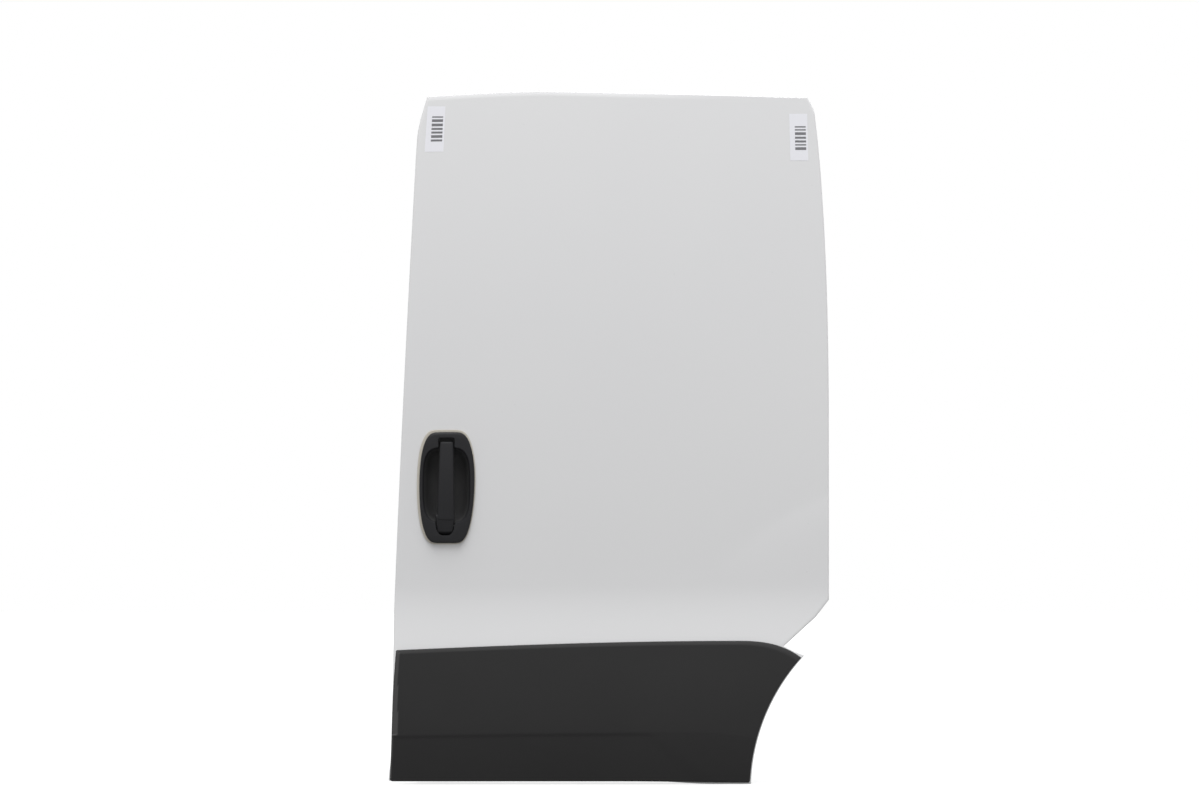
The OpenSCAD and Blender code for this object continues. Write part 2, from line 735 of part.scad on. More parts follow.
// A roller on an upright pin through the end of an arm
module guide_roller(r) {
    translate([0, 0, -arm_t / 2 - 3]) cylinder(h = arm_t + 4, r = 4);
    translate([0, 0, arm_t / 2 + 0.5]) cylinder(h = 12, r = r);
}

module middle_arm() {
    color("#202022") {
        on_inner(middle_x, carriage_z) base_plate(34, 64);
        translate([middle_x, 0, carriage_z])
            arm(inner_y(carriage_z) + seat + sheet + bond + 1, middle_y - roller_back, 30, 26);
    }
}

module middle_carriage() {
    z = arm_t / 2 + 0.3;
    color("#202022") translate([middle_x, middle_y, carriage_z]) difference() {
        union() {
            translate([-34, -roller_back - 14, z]) cube([68, roller_back + 14, 6]);
            translate([-34, -6, -16]) cube([68, 6, z + 22]);
        }
        translate([0, -roller_back, 0]) cylinder(h = 20, r = 4.1);
        for (x = [-24, 24]) translate([x, -roller_back, 0]) cylinder(h = 20, r = 3.1);
    }
}

module middle_rollers() {
    color("ivory") translate([middle_x, middle_y - roller_back, carriage_z]) {
        translate([0, 0, -arm_t / 2 - 3]) cylinder(h = arm_t + 14, r = 4);
        for (x = [-24, 24]) translate([x, 0, arm_t / 2 + 1]) {
            cylinder(h = 8, r = 3);
            translate([0, 0, 6.3]) cylinder(h = 11, r = 10);
        }
    }
}

module lower_arm() {
    color("#202022") {
        on_inner(lower_x, lower_z) base_plate(90, 34);
        translate([lower_x, 0, lower_z])
            arm(inner_y(lower_z) + seat + sheet + bond + 1, inner_y(lower_z) + lower_reach, 76, 28);
    }
}

module lower_rollers() {
    color("ivory") translate([lower_x, inner_y(lower_z) + lower_reach, lower_z]) {
        guide_roller(12);
        translate([0, 0, -arm_t / 2 - 3]) cylinder(h = 2, r = 8);
    }
}

// Seals and stops

seal_d = 21;
// Section of the seal: distance across the land and height off it
seal_section = [[-5, 0], [-5.5, 6], [-2, 11], [2, 11], [5.5, 6], [5, 0]];

module weatherstrip() {
    rings = [for (s = seal_section) door_loop(seal_d + s[0])];
    n = len(rings[0]);
    m = len(seal_section);
    points = [for (i = [0:n - 1]) for (k = [0:m - 1]) let (p = rings[k][i])
        [p[0], skin_y(p[0], p[1]) + 2 * (sheet + seat) + seal_section[k][1], p[1]]];
    color("#202022") polyhedron(points = points, convexity = 6, faces = [for (i = [0:n - 1], k = [0:m - 1])
        let (a = i * m + k, b = i * m + (k + 1) % m, j = (i + 1) % n * m, c = j + k, d = j + (k + 1) % m)
        each [[a, b, c], [b, d, c]]]);
}

bumper_up = 115;
bumper_pitch = 160;
bumper_in = frame_w / 2 + 20;

module door_bumpers() {
    color("#202022") for (up = [bumper_up, bumper_up + bumper_pitch])
        let (z = waist_z + up) on_inner(rear_line(z) - bumper_in, z, false) rotate([-90, 0, 0])
            cylinder(h = 9, r1 = 11, r2 = 8);
}

clip_z = crease_z + 24;
clip_end = 58;
clip_count = 6;
clip_h = 4.5;

module moulding_clips() {
    pitch = (arch_x(clip_z) - 2 * clip_end) / (clip_count - 1);
    color("ivory") for (i = [0:clip_count - 1])
        let (x = clip_end + i * pitch) translate([x, skin_y(x, clip_z) - seat - clip_h, clip_z])
            rotate([-90, 0, 0]) cylinder(h = clip_h, r = 7);
}

// Moves the whole door so that its origin lies on the inboard face of the middle carriage
module place() { translate([-middle_x, -middle_y, -carriage_z]) children(); }

place() outer_skin();
place() frame_front();
place() frame_top();
place() frame_rear();
place() frame_arch();
place() frame_foot();
place() waist_rail();
place() lower_inner_panel();
place() skin_stiffener();
place() impact_beam();
place() lower_moulding();
place() moulding_clips();
place() handle_gasket();
place() handle_surround();
place() handle_pivot();
place() handle_pin();
place() handle_grip();
place() handle_backplate();
place() front_lock();
place() rear_latch();
place() lock_relay();
place() front_lock_rod();
place() rear_lock_rod();
place() upper_arm();
place() upper_roller();
place() middle_arm();
place() middle_carriage();
place() middle_rollers();
place() lower_arm();
place() lower_rollers();
place() weatherstrip();
place() door_bumpers();
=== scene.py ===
"""Left sliding side door of a small panel van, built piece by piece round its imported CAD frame."""

import math
import random

import bmesh
import bpy
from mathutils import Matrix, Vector


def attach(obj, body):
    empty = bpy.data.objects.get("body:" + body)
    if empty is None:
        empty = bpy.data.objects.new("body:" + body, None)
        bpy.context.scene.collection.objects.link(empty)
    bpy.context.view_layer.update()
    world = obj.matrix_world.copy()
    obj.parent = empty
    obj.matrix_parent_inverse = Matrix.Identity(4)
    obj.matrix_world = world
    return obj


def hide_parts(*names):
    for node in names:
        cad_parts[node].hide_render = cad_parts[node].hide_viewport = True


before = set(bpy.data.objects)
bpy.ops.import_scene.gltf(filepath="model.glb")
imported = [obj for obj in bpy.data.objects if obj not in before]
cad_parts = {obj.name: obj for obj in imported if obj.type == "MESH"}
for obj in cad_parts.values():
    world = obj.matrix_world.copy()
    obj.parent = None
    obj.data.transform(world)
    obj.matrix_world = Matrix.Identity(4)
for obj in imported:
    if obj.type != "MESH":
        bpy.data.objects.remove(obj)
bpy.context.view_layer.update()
DOOR = "door"
GRIP = "grip"

# Outer skin
# One sheet of pressed steel, white paint over primer, hemmed round the inner
# frame. The side leans in towards the roof and swells out over the wheel.

# Millimetres from the front foot corner: x to the rear, y inwards and z up
DOOR_HEIGHT = 1200
DOOR_WIDTH = 761
SHEET = 1.2
SEAT = 0.5
BELT_HEIGHT = 430
TUMBLE_RADIUS = 4200
TUCK_RADIUS = 12000
FRONT_LEAN = 48
REAR_LEAN = 26
ARCH_RADIUS = 340
WHEEL_X = DOOR_WIDTH + 205
WHEEL_Z = -11
ARCH_CREASE = 210
ARCH_OUT = 2.4
CREASE_FADE = 40
CREASE_LENGTH = 260
FLARE_OUT = 22
FLARE_RAMP = 200
SWAGE_HEIGHT = 345
LOWER_DEPTH = 78
UPPER_DEPTH = 52
WAIST_HEIGHT = 735
WAIST_BLEND = 60
FRAME_WIDTH = 82
CORNER_HEIGHT = DOOR_HEIGHT - 74
SHOULDER_HEIGHT = 318
NOTCH_HEIGHT = 238
NOTCH_X = WHEEL_X - 283
BEND_HEIGHT = SHOULDER_HEIGHT - 30
BEND_X = NOTCH_X + 55
TIP_HEIGHT = 222
FRONT_CORNER_CUT = 13.5
REAR_CORNER_CUT = 9
REAR_CORNER_REACH = 30
CROWN_X = 262
CROWN_DROP = 9.7
CROWN_DROP_REAR = 12
CROWN_BLEND = 60
TOP_FRONT_X = 65
TOP_REAR_X = DOOR_WIDTH - 30
HEM_WIDTH = 12
HEM_DEPTH = 2 * SHEET + 0.4
TOP_ROLL = 8
TOP_SHOULDER = 1.3
TOP_SHOULDER_RUN = 120
TOP_SHOULDER_FADE = 280
HEM_ROLL = 0.8
SIDE_ROLL = 4
ROLL_DEPTH = 2.4
FOOT_RISE = 5.5
FOOT_RISE_HEIGHT = 40
FOOT_RISE_RUN = 430
FOOT_RISE_FADE = 130
FRONT_TUCK = 2.8
FRONT_TUCK_IN = 50
FRONT_TUCK_END = 150
FRONT_TUCK_FADE = 180


def ease(share):
    """A share from 0 to 1 that starts and stops gently."""
    share = min(max(share, 0), 1)
    return share * share * (3 - 2 * share)


def mix(first, last, share):
    return first + (last - first) * share


def steps(first, last, count):
    """Evenly spaced places from the first up to, but without, the last."""
    return [first + (last - first) * i / count for i in range(count)]


def arch_x(z):
    return WHEEL_X - math.sqrt(ARCH_RADIUS ** 2 - (z - WHEEL_Z) ** 2)


def front_x(z):
    """Front edge, which leans back more and more, with the top corner cut off in a curve."""
    lean = FRONT_LEAN * (max(z, 0) / CORNER_HEIGHT) ** 1.25
    corner = (max(z - CORNER_HEIGHT, 0) / (DOOR_HEIGHT - CORNER_HEIGHT)) ** 1.5
    return lean + FRONT_CORNER_CUT * corner


def rear_line(z):
    lean = REAR_LEAN * (max(z - DOOR_HEIGHT / 2, 0) / (DOOR_HEIGHT / 2)) ** 2.5
    corner = (max(z - DOOR_HEIGHT + REAR_CORNER_REACH, 0) / REAR_CORNER_REACH) ** 1.5
    return DOOR_WIDTH - lean - REAR_CORNER_CUT * corner


def rear_x(z):
    """Rear edge: the arch, the two straight runs of the notch behind it, and the upright line."""
    if z <= TIP_HEIGHT:
        return arch_x(z)
    if z <= NOTCH_HEIGHT:
        return mix(arch_x(TIP_HEIGHT), NOTCH_X, (z - TIP_HEIGHT) / (NOTCH_HEIGHT - TIP_HEIGHT))
    if z <= BEND_HEIGHT:
        return mix(NOTCH_X, BEND_X, (z - NOTCH_HEIGHT) / (BEND_HEIGHT - NOTCH_HEIGHT))
    if z <= SHOULDER_HEIGHT:
        share = (z - BEND_HEIGHT) / (SHOULDER_HEIGHT - BEND_HEIGHT)
        return mix(BEND_X, rear_line(SHOULDER_HEIGHT), share)
    return rear_line(z)


def top_z(x):
    """Height of the top edge, which falls to both sides of its crown."""
    if x < CROWN_X:
        return DOOR_HEIGHT - CROWN_DROP * ((CROWN_X - x) / (CROWN_X - TOP_FRONT_X)) ** 1.5
    return DOOR_HEIGHT - CROWN_DROP_REAR * ((x - CROWN_X) / (TOP_REAR_X - CROWN_X)) ** 1.15


def tumble(z):
    """How far the side leans in, on a tight curve over the belt and a flat one under it."""
    return (z - BELT_HEIGHT) ** 2 / (2 * (TUMBLE_RADIUS if z > BELT_HEIGHT else TUCK_RADIUS))


def flare(x, z):
    """Swelling of the side's foot, and the small step inside the crease round the wheel arch."""
    inside = max(0, ARCH_RADIUS + ARCH_CREASE - math.hypot(x - WHEEL_X, z - WHEEL_Z))
    near_rear = ease((x - DOOR_WIDTH + CREASE_LENGTH) / (0.7 * CREASE_LENGTH))
    swell = FLARE_OUT * ease((SWAGE_HEIGHT - z) / FLARE_RAMP)
    return swell + ARCH_OUT * (1 - math.exp(-inside / CREASE_FADE)) * near_rear


def skin_y(x, z):
    return tumble(z) - flare(x, z)


def inner_y(z):
    """Inner face of the frame, which is deeper under the waist than over it."""
    waist = ease((z - WAIST_HEIGHT) / WAIST_BLEND + 0.5)
    return tumble(z) + mix(LOWER_DEPTH, UPPER_DEPTH, waist)


def crowned(x, z):
    """Height of a point once the rows near the top have bent with the crown."""
    crown_foot = CORNER_HEIGHT - CROWN_BLEND
    return z + (top_z(x) - DOOR_HEIGHT) * ease((z - crown_foot) / (DOOR_HEIGHT - crown_foot))


# Middle of the carriage behind the rear edge, where the frame has its origin
CARRIAGE_INSET = 20
CARRIAGE_REACH = 62
CARRIAGE_Z = 660
CARRIAGE_X = rear_line(CARRIAGE_Z) - FRAME_WIDTH / 2 - CARRIAGE_INSET
CARRIAGE_Y = inner_y(CARRIAGE_Z) + CARRIAGE_REACH


def place(x, y, z):
    """A point of the door, from millimetres off its front foot corner to metres off its carriage."""
    return Vector(((x - CARRIAGE_X) / 1000, (y - CARRIAGE_Y) / 1000, (z - CARRIAGE_Z) / 1000))


def new_material(name, colour, roughness, metallic=0.0, specular=0.5, coat=0.0):
    """A surface of one colour, with the node tree and shader that its own section works on."""
    material = bpy.data.materials.new(name)
    material.use_nodes = True
    shader = material.node_tree.nodes["Principled BSDF"]
    shader.inputs["Base Color"].default_value = (*colour, 1)
    shader.inputs["Roughness"].default_value = roughness
    shader.inputs["Metallic"].default_value = metallic
    shader.inputs["Specular IOR Level"].default_value = specular
    shader.inputs["Coat Weight"].default_value = coat
    return material, material.node_tree, shader


def add_node(tree, kind, **values):
    """A node with its sockets set by name, or else its settings."""
    node = tree.nodes.new(kind)
    for key, value in values.items():
        socket = key.title()
        if socket in node.inputs:
            node.inputs[socket].default_value = value
        else:
            setattr(node, key, value)
    return node


def noise(tree, scale, detail=3.0, roughness=0.5):
    """Noise laid out on the piece's own metres."""
    coordinates = add_node(tree, "ShaderNodeTexCoord")
    texture = add_node(tree, "ShaderNodeTexNoise", scale=scale, detail=detail, roughness=roughness)
    tree.links.new(coordinates.outputs["Object"], texture.inputs["Vector"])
    return texture


def ramp(tree, texture, stops):
    """Greys or colours laid over a noise, each at its own stop."""
    node = add_node(tree, "ShaderNodeValToRGB")
    elements = node.color_ramp.elements
    while len(elements) > len(stops):
        elements.remove(elements[-1])
    while len(elements) < len(stops):
        elements.new(0.5)
    for element, (position, value) in zip(elements, stops):
        element.position = position
        element.color = (*value, 1) if isinstance(value, tuple) else (value, value, value, 1)
    tree.links.new(texture.outputs[0], node.inputs["Fac"])
    return node


def mottle(tree, shader, socket, scale, detail, stops):
    """Patches over a surface, in its roughness or its colour."""
    shade = ramp(tree, noise(tree, scale, detail), stops)
    tree.links.new(shade.outputs["Color"], shader.inputs[socket])


def add_grain(tree, shader, scale, detail, roughness, strength, distance):
    """Fine relief over a surface."""
    grain = noise(tree, scale, detail, roughness)
    relief = add_node(tree, "ShaderNodeBump", strength=strength, distance=distance)
    tree.links.new(grain.outputs["Fac"], relief.inputs["Height"])
    tree.links.new(relief.outputs["Normal"], shader.inputs["Normal"])


def multiplied(tree, colour, tint):
    """One colour darkened by another."""
    node = add_node(tree, "ShaderNodeMix", data_type="RGBA", blend_type="MULTIPLY")
    node.inputs["Factor"].default_value = 1
    tree.links.new(colour.outputs["Color"], node.inputs["A"])
    tree.links.new(tint.outputs["Color"], node.inputs["B"])
    return node


def paint_material(name, colour, roughness=0.28, coat=0.6):
    """White body paint: a clear coat with a faint orange peel, and a little dust in it."""
    material, tree, shader = new_material(name, colour, roughness, coat=coat)
    dusty = tuple(0.55 * channel for channel in colour)
    dust = ramp(tree, noise(tree, 260, 2.0, 0.4), [(0.0, dusty), (0.235, colour)])
    patches = ramp(tree, noise(tree, 2.2, 2.0), [(0.3, (0.98, 0.98, 0.985)), (0.7, (1.0, 1.0, 1.0))])
    mixed = multiplied(tree, dust, patches)
    tree.links.new(mixed.outputs["Result"], shader.inputs["Base Color"])
    add_grain(tree, shader, 420, 1.0, 0.5, 0.05, 0.0002)
    return material


def grid_faces(rows, columns, start=0, flip=False):
    """Four-sided faces between the points of a grid that starts at one vertex."""
    faces = []
    for i in range(rows - 1):
        for j in range(columns - 1):
            a = start + i * columns + j
            face = (a, a + 1, a + columns + 1, a + columns)
            faces.append(face[::-1] if flip else face)
    return faces


def rim_faces(rows, columns, back):
    """Walls that close a front grid to the back grid that starts at vertex back."""
    loop = list(range(columns)) + [i * columns + columns - 1 for i in range(1, rows)]
    loop += [(rows - 1) * columns + j for j in range(columns - 2, -1, -1)]
    loop += [i * columns for i in range(rows - 2, 0, -1)]
    return [(b, a, a + back, b + back) for a, b in zip(loop, loop[1:] + loop[:1])]


def sheet_faces(rows, columns):
    """Faces of a sheet whose front grid comes first and its back grid right after."""
    back = rows * columns
    faces = grid_faces(rows, columns) + grid_faces(rows, columns, back, flip=True)
    return faces + rim_faces(rows, columns, back)


def loose_piece(name, vertices, faces, material=None):
    """A mesh before it rides on anything."""
    mesh = bpy.data.meshes.new(name)
    mesh.from_pydata([tuple(v) for v in vertices], [], faces)
    mesh.update()
    if material:
        mesh.materials.append(material)
    piece = bpy.data.objects.new(name, mesh)
    bpy.context.scene.collection.objects.link(piece)
    return piece


FOLD = math.radians(32)


def shade_smooth(mesh):
    """Smooth shading that stays crisp across the folds."""
    for polygon in mesh.polygons:
        polygon.use_smooth = True
    work = bmesh.new()
    work.from_mesh(mesh)
    for edge in work.edges:
        if len(edge.link_faces) == 2:
            edge.smooth = edge.calc_face_angle(0) < FOLD
    work.to_mesh(mesh)
    work.free()


def finish_piece(piece, replaces=(), body=DOOR):
    """Seats a piece on its body, and lets it stand for the CAD nodes named."""
    shade_smooth(piece.data)
    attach(piece, body)
    if replaces:
        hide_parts(*replaces)


def carve(piece, tools, operation="DIFFERENCE"):
    """Cuts the tool pieces out of a piece, or joins them to it, and throws the tools away."""
    for tool in tools:
        change = piece.modifiers.new("carve", "BOOLEAN")
        change.operation = operation
        change.solver = "EXACT"
        change.material_mode = "TRANSFER"
        change.object = tool
        bpy.context.view_layer.update()
        graph = bpy.context.evaluated_depsgraph_get()
        shaped = bpy.data.meshes.new_from_object(piece.evaluated_get(graph))
        piece.modifiers.clear()
        piece.data = shaped
        bpy.data.objects.remove(tool)


def loft(rings):
    """Vertices and faces of a closed solid through rings of equal length, back to front."""
    count = len(rings[0])
    vertices = [point for ring in rings for point in ring]
    faces = [tuple(range(count - 1, -1, -1))]
    for i in range(len(rings) - 1):
        for k in range(count):
            a, b = i * count + k, i * count + (k + 1) % count
            faces.append((a, b, b + count, a + count))
    last = (len(rings) - 1) * count
    faces.append(tuple(range(last, last + count)))
    return vertices, faces


HANDLE_INSET = 83
HANDLE_Z = 511.5
HANDLE_X = front_x(HANDLE_Z) + HANDLE_INSET
HANDLE_LEAN = math.atan((HANDLE_Z - BELT_HEIGHT) / TUMBLE_RADIUS)
SURROUND_WIDTH = 95
SURROUND_HEIGHT = 192
SURROUND_SQUARENESS = 6
SURROUND_NARROW_UP = 0.33
SURROUND_NARROW_DOWN = 0.23
SURROUND_SWING = 3.2
SWING_FROM = 0.4
SWING_RUN = 1.2
WIDEST_AT = 0.16
RING_POINTS = 120


def on_handle(x, y, z):
    """A point given from the middle of the handle, square to the skin there."""
    cos, sin = math.cos(HANDLE_LEAN), math.sin(HANDLE_LEAN)
    depth = skin_y(HANDLE_X, HANDLE_Z) + y * cos + z * sin
    return place(HANDLE_X + x, depth, HANDLE_Z - y * sin + z * cos)


def rounded_ring(width, height, y, power, dx=0, dz=0, narrow_up=0.0, narrow_down=0.0, swing=0.0):
    """A rounded outline at depth y, which may narrow to its ends and swing forward at its foot."""
    ring = []
    for i in range(RING_POINTS):
        angle = 2 * math.pi * i / RING_POINTS
        c, s = math.cos(angle), math.sin(angle)
        size = (abs(c) ** power + abs(s) ** power) ** (1 / power)
        u, v = c / size, s / size
        narrow = narrow_up if v > WIDEST_AT else narrow_down
        u *= 1 - narrow * (v - WIDEST_AT) ** 2
        forward = swing * ease((SWING_FROM - v) / SWING_RUN) if u < 0 else 0
        ring.append(on_handle(width / 2 * u + dx - forward, y, height / 2 * v + dz))
    return ring


def handle_ring(inset, y, dx=0, dz=0):
    """Egg-shaped outline of the surround at depth y, drawn in by the inset."""
    return rounded_ring(SURROUND_WIDTH - 2 * inset, SURROUND_HEIGHT - 2 * inset, y, SURROUND_SQUARENESS,
                        dx, dz, SURROUND_NARROW_UP, SURROUND_NARROW_DOWN, SURROUND_SWING)


white_paint = paint_material("white_paint", (0.652, 0.652, 0.655))

# Rows and columns of the sheet's mesh, close together at its rolled edges and hem
SKIN_COLUMNS = 110
EDGE_RIMS = [0, 0.12, 0.5, 1.2, 2.4, SIDE_ROLL, TOP_ROLL, TOP_ROLL + 0.6, HEM_WIDTH, HEM_WIDTH + 0.6]
skin_rows = list(EDGE_RIMS)
for low, high, count in ((20, TIP_HEIGHT, 28), (TIP_HEIGHT, NOTCH_HEIGHT, 3),
                         (NOTCH_HEIGHT, BEND_HEIGHT, 7), (BEND_HEIGHT, SHOULDER_HEIGHT, 4),
                         (SHOULDER_HEIGHT, 560, 32), (560, CORNER_HEIGHT - 40, 40),
                         (CORNER_HEIGHT - 40, DOOR_HEIGHT - EDGE_RIMS[-1], 16)):
    skin_rows += steps(low, high, count)
skin_rows += [DOOR_HEIGHT - rim for rim in reversed(EDGE_RIMS)]


def across(left, right):
    """Places along one row of the sheet, from its front edge to its rear edge."""
    hem = EDGE_RIMS[-1]
    middle = [left + hem + (right - left - 2 * hem) * i / SKIN_COLUMNS for i in range(1, SKIN_COLUMNS)]
    return [left + rim for rim in EDGE_RIMS] + middle + [right - rim for rim in reversed(EDGE_RIMS)]


def rolled(distance, reach, depth):
    """How far a face turns back at that distance from its rounded edge."""
    if distance >= reach:
        return 0
    return depth * (1 - math.sqrt(1 - (1 - distance / reach) ** 2))


def top_roll(x, distance):
    """How far the top edge turns back: a narrow shoulder that fades to its ends, and the hem's roll."""
    shoulder = TOP_SHOULDER * (1 - ease((abs(x - CROWN_X) - TOP_SHOULDER_RUN) / TOP_SHOULDER_FADE))
    return shoulder * max(0, 1 - distance / TOP_ROLL) + rolled(distance, HEM_ROLL, HEM_ROLL)


def tucked_front_x(z):
    """Front edge of the sheet, drawn in a little where the moulding hides it."""
    let_out = 1 - ease((z - FRONT_TUCK_END) / FRONT_TUCK_FADE)
    return front_x(z) + FRONT_TUCK * ease(z / FRONT_TUCK_IN) * let_out


def raised_foot(x, z):
    """Lift of the rows near the foot, behind the moulding, which fades before the arch."""
    before_arch = 1 - ease((x - FOOT_RISE_RUN) / FOOT_RISE_FADE)
    return FOOT_RISE * before_arch * (1 - ease(z / FOOT_RISE_HEIGHT))


HOLE_INSET = 4
HOLE_DEPTH = 20


def make_skin():
    front, back = [], []
    for z in skin_rows:
        row = across(tucked_front_x(z), rear_x(z))
        for x in row:
            height = crowned(x, z) + raised_foot(x, z)
            side = min(x - row[0], row[-1] - x, z)
            hemmed = min(side, DOOR_HEIGHT - z) < HEM_WIDTH + 0.1
            y = skin_y(x, height)
            roll = max(rolled(side, SIDE_ROLL, ROLL_DEPTH), top_roll(x, DOOR_HEIGHT - z))
            front.append(place(x, y + roll, height))
            back.append(place(x, y + (HEM_DEPTH if hemmed else SHEET), height))
    rows = len(skin_rows)
    skin = loose_piece("skin_panel", front + back, sheet_faces(rows, len(front) // rows), white_paint)
    hole = [handle_ring(HOLE_INSET, HOLE_DEPTH), handle_ring(HOLE_INSET, -HOLE_DEPTH)]
    carve(skin, [loose_piece("handle_hole", *loft(hole))])
    finish_piece(skin, replaces=["outer_skin"])


make_skin()

# Inner frame
# Pressed channels round the door and a rail at its waist, welded together
# and painted with the skin. They stay as the CAD has them, in a duller coat.

FRAME_NODES = ["frame_front", "frame_top", "frame_rear", "frame_arch", "frame_foot", "waist_rail",
               "lower_inner_panel", "skin_stiffener"]
BEVEL_ANGLE = math.radians(40)
inner_paint = paint_material("inner_paint", (0.60, 0.61, 0.63), roughness=0.42, coat=0.25)


def dress(nodes, material, bevel=0.0):
    """Gives CAD nodes their finish, and eases their edges where a bevel is asked for."""
    for name in nodes:
        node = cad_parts[name]
        node.data.materials.clear()
        node.data.materials.append(material)
        if bevel:
            edge = node.modifiers.new("eased_edges", "BEVEL")
            edge.width = bevel
            edge.segments = 2
            edge.limit_method = "ANGLE"
            edge.angle_limit = BEVEL_ANGLE


dress(FRAME_NODES, inner_paint)

# Impact beam
# Drawn steel tube across the door, left in its dark electro-coat.

coat_black, tree, shader = new_material("electro_coat", (0.035, 0.036, 0.038), 0.45)
mottle(tree, shader, "Roughness", 60, 4.0, [(0.35, 0.38), (0.7, 0.6)])
dress(["impact_beam"], coat_black)

# Lower moulding
# Dark grey plastic cladding with a fine moulded grain, clipped to the skin
# along its foot. A crease runs along it and fades out before the wheel arch.

MOULDING_HEIGHT = 231
MOULDING_RISE = 16
MOULDING_FOOT = 4.5
MOULDING_FOOT_REAR = 2.5
MOULDING_FOOT_BEND = 0.65
MOULDING_TIP = TIP_HEIGHT - 4
MOULDING_FRONT_FOOT = 2
MOULDING_FRONT = 12.7
FRONT_HOLLOW = 1.4
HOLLOW_FROM = 0.3
MOULDING_GAP = 2
MOULDING_PROUD = 7
MOULDING_OUT = 28
MOULDING_TUCK = 6
MOULDING_THICK = 3
MOULDING_ROLL = 2
MOULDING_CROWN = 0.82
TOP_BAND = 7
TOP_BAND_DEPTH = 3
TOP_CORNER = 2
FOOT_CORNER = 4
BEVEL_AT_TOP = 5.5
BEVEL_AT_CREASE = 11
BEVEL_BELOW = 3
BEVEL_DEPTH = 5
BEVEL_DEPTH_BELOW = 2
CREASE_Z = 84
CREASE_SHARE = (CREASE_Z - MOULDING_FOOT) / (MOULDING_HEIGHT - MOULDING_FOOT)
CREASE_STEP = 1.2
CREASE_END = 437
CREASE_END_FADE = 30
CREASE_END_SLOPE = 1.1

# Painted shade: the grey is darker towards the moulding's foot and lighter towards its top, following
# how the light falls on it
GREY_AT_FOOT = (0.0150, 0.0148, 0.0150)
GREY_AT_CREASE = (0.0195, 0.0192, 0.0195)
GREY_AT_TOP = (0.0220, 0.0218, 0.0220)
# Painted highlight: a lighter grey laid on the front bevel, as if the bevel were lit from the left
PAINTED_HIGHLIGHT_GREY = (0.055, 0.054, 0.054)

moulding_grey, tree, shader = new_material("moulding_plastic", GREY_AT_CREASE, 0.6, specular=0.15)
position = add_node(tree, "ShaderNodeTexCoord")
split = add_node(tree, "ShaderNodeSeparateXYZ")
tree.links.new(position.outputs["Object"], split.inputs["Vector"])
share_up = add_node(tree, "ShaderNodeMapRange")
share_up.inputs["From Min"].default_value = -CARRIAGE_Z / 1000
share_up.inputs["From Max"].default_value = (MOULDING_HEIGHT - CARRIAGE_Z) / 1000
tree.links.new(split.outputs["Z"], share_up.inputs["Value"])
# Painted shade by height, from the foot's grey through the crease's to the top's
painted_shade_by_height = ramp(tree, share_up, [(0.0, GREY_AT_FOOT), (0.36, GREY_AT_CREASE), (0.9, GREY_AT_TOP)])
cloud = ramp(tree, noise(tree, 7, 3.0), [(0.3, (0.93, 0.93, 0.93)), (0.7, (1.0, 1.0, 1.0))])
clouded = multiplied(tree, painted_shade_by_height, cloud)
# A per-point mask mixes the painted highlight grey into the front bevel
painted_highlight_mask = add_node(tree, "ShaderNodeAttribute", attribute_name="painted_highlight_mask")
painted_highlight = add_node(tree, "ShaderNodeMix", data_type="RGBA")
painted_highlight.inputs["B"].default_value = (*PAINTED_HIGHLIGHT_GREY, 1)
tree.links.new(painted_highlight_mask.outputs["Fac"], painted_highlight.inputs["Factor"])
tree.links.new(clouded.outputs["Result"], painted_highlight.inputs["A"])
tree.links.new(painted_highlight.outputs["Result"], shader.inputs["Base Color"])
add_grain(tree, shader, 900, 2.0, 0.6, 0.35, 0.0004)


def moulding_top(u):
    """Height of the top edge at share u of the length, which rises to a crown and drops to the tip."""
    if u < MOULDING_CROWN:
        return MOULDING_HEIGHT + MOULDING_RISE * math.sin(math.pi / 2 * u / MOULDING_CROWN)
    fall = ((u - MOULDING_CROWN) / (1 - MOULDING_CROWN)) ** 2
    return mix(MOULDING_HEIGHT + MOULDING_RISE, MOULDING_TIP, fall)


def moulding_foot(u):
    """Height of the foot edge, which sinks a little towards the arch."""
    sink = ease((u - MOULDING_FOOT_BEND) / (1 - MOULDING_FOOT_BEND))
    return mix(MOULDING_FOOT, MOULDING_FOOT_REAR, sink)


def moulding_left(u, v):
    """Front edge at share v of the height: a little hollow, with its two corners rounded."""
    rise = moulding_top(u) - moulding_foot(u)
    hollow = FRONT_HOLLOW * math.sin(math.pi * max(0, v - HOLLOW_FROM) / (1 - HOLLOW_FROM))
    corners = rolled(v * rise, FOOT_CORNER, FOOT_CORNER) + rolled((1 - v) * rise, TOP_CORNER, TOP_CORNER)
    return mix(MOULDING_FRONT_FOOT, MOULDING_FRONT, v) - hollow + corners


def moulding_at(u, v):
    """Place of a point of the moulding, seen square from outside."""
    foot = moulding_foot(u)
    z = foot + v * (moulding_top(u) - foot)
    right = arch_x(z) - MOULDING_GAP - rolled(z - foot, FOOT_CORNER, FOOT_CORNER)
    return mix(moulding_left(u, v), right, u), z


def bevel_width(v):
    """Width of the bevel along the front edge, widest just over the crease."""
    if v > CREASE_SHARE:
        return mix(BEVEL_AT_CREASE, BEVEL_AT_TOP, (v - CREASE_SHARE) / (1 - CREASE_SHARE))
    return BEVEL_BELOW


